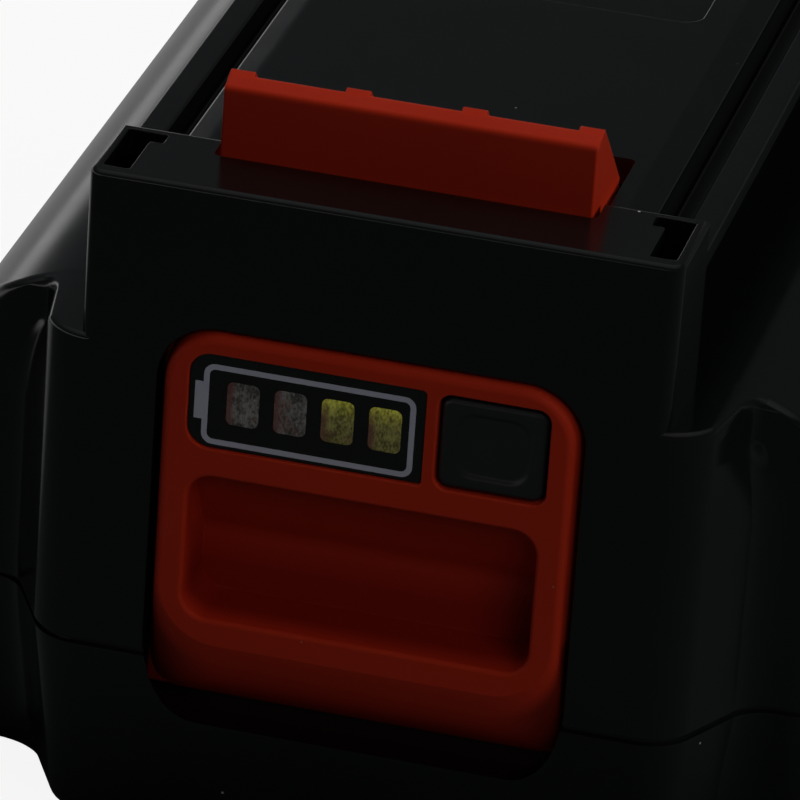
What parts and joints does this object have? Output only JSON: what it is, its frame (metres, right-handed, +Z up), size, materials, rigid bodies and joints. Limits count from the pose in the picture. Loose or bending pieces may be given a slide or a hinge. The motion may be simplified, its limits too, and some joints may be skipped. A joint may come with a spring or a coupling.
{
  "type": "power tool battery pack",
  "caption": "Slide-on tool battery: black two-part housing with side rails, sprung red-orange latch with locking tongue, charge gauge with press button, cells and boards inside.",
  "frame": {"origin": "centre of the base, on the plane it stands on", "axes": "+Z up, -Y towards the latch end, +X to the right seen from the latch end; X = 0 is the middle of the pack"},
  "size_m": [0.085, 0.1244, 0.0711],
  "materials": {
    "housing_plastic": "black moulded plastic, part gloss",
    "latch_plastic": "red-orange moulded plastic, satin",
    "spring_steel": "bright drawn wire",
    "label_film": "black film",
    "clear_plastic": "milky clear plastic",
    "button_plastic": "black moulded plastic, matt",
    "board": "green lacquered board",
    "lamp": "small clear lamp",
    "component_plastic": "black moulded component",
    "plunger_plastic": "pale plunger",
    "wire_jacket": "flexible jacket",
    "copper_alloy": "copper alloy strip",
    "capacitor_can": "sleeved can",
    "holder_plastic": "dark moulded plastic",
    "contact_brass": "spring contact",
    "cell_sleeve": "shrink sleeve",
    "nickel": "nickel strip",
    "sheet_paper": "insulating sheet",
    "screw_steel": "plated steel"
  },
  "bodies": {
    "housing": {"upper_housing": "housing_plastic", "lower_housing": "housing_plastic", "latch_spring_left": "spring_steel", "latch_spring_right": "spring_steel", "gauge_board": "board", "gauge_leds": "lamp", "switch_body": "component_plastic", "gauge_lead": "wire_jacket", "main_board": "board", "power_mosfets": "component_plastic", "control_chip": "component_plastic", "shunt_resistor": "copper_alloy", "storage_capacitors": "capacitor_can", "terminal_block": "holder_plastic", "terminal_negative": "contact_brass", "terminal_data_1": "contact_brass", "terminal_data_2": "contact_brass", "terminal_data_3": "contact_brass", "terminal_positive": "contact_brass", "cell_01": "cell_sleeve", "cell_02": "cell_sleeve", "cell_03": "cell_sleeve", "cell_04": "cell_sleeve", "cell_05": "cell_sleeve", "cell_06": "cell_sleeve", "cell_07": "cell_sleeve", "cell_08": "cell_sleeve", "cell_09": "cell_sleeve", "cell_10": "cell_sleeve", "cell_holder_left": "holder_plastic", "cell_holder_right": "holder_plastic", "strap_left_1": "nickel", "strap_left_2": "nickel", "strap_left_3": "nickel", "strap_left_4": "nickel", "strap_left_5": "nickel", "strap_right_1": "nickel", "strap_right_2": "nickel", "strap_right_3": "nickel", "strap_right_4": "nickel", "tab_negative": "nickel", "tab_positive": "nickel", "insulator_left": "sheet_paper", "insulator_right": "sheet_paper", "housing_screws": "screw_steel", "board_screws": "screw_steel"},
    "latch": {"latch": "latch_plastic", "gauge_label": "label_film", "light_guide": "clear_plastic"},
    "charge_button": {"charge_button": "button_plastic"},
    "switch_plunger": {"switch_plunger": "plunger_plastic"}
  },
  "joints": [
    {"name": "latch_slide", "type": "slide", "parent": "housing", "child": "latch", "axis": [0, 0, -1], "range_m": [0, 0.005], "stiffness_N_per_m": 800, "springref_m": -0.006, "deforming": ["latch_spring_left", "latch_spring_right"]},
    {"name": "charge_press", "type": "slide", "parent": "latch", "child": "charge_button", "axis": [0, 1, 0], "range_m": [0, 0.0006], "stiffness_N_per_m": 1500, "springref_m": -0.0006},
    {"name": "plunger_press", "type": "slide", "parent": "housing", "child": "switch_plunger", "axis": [0, 1, 0], "range_m": [0, 0.0003]}
  ],
  "couplings": [
    {"joint": "plunger_press", "follows": "charge_press", "ratio": 0.5}
  ]
}
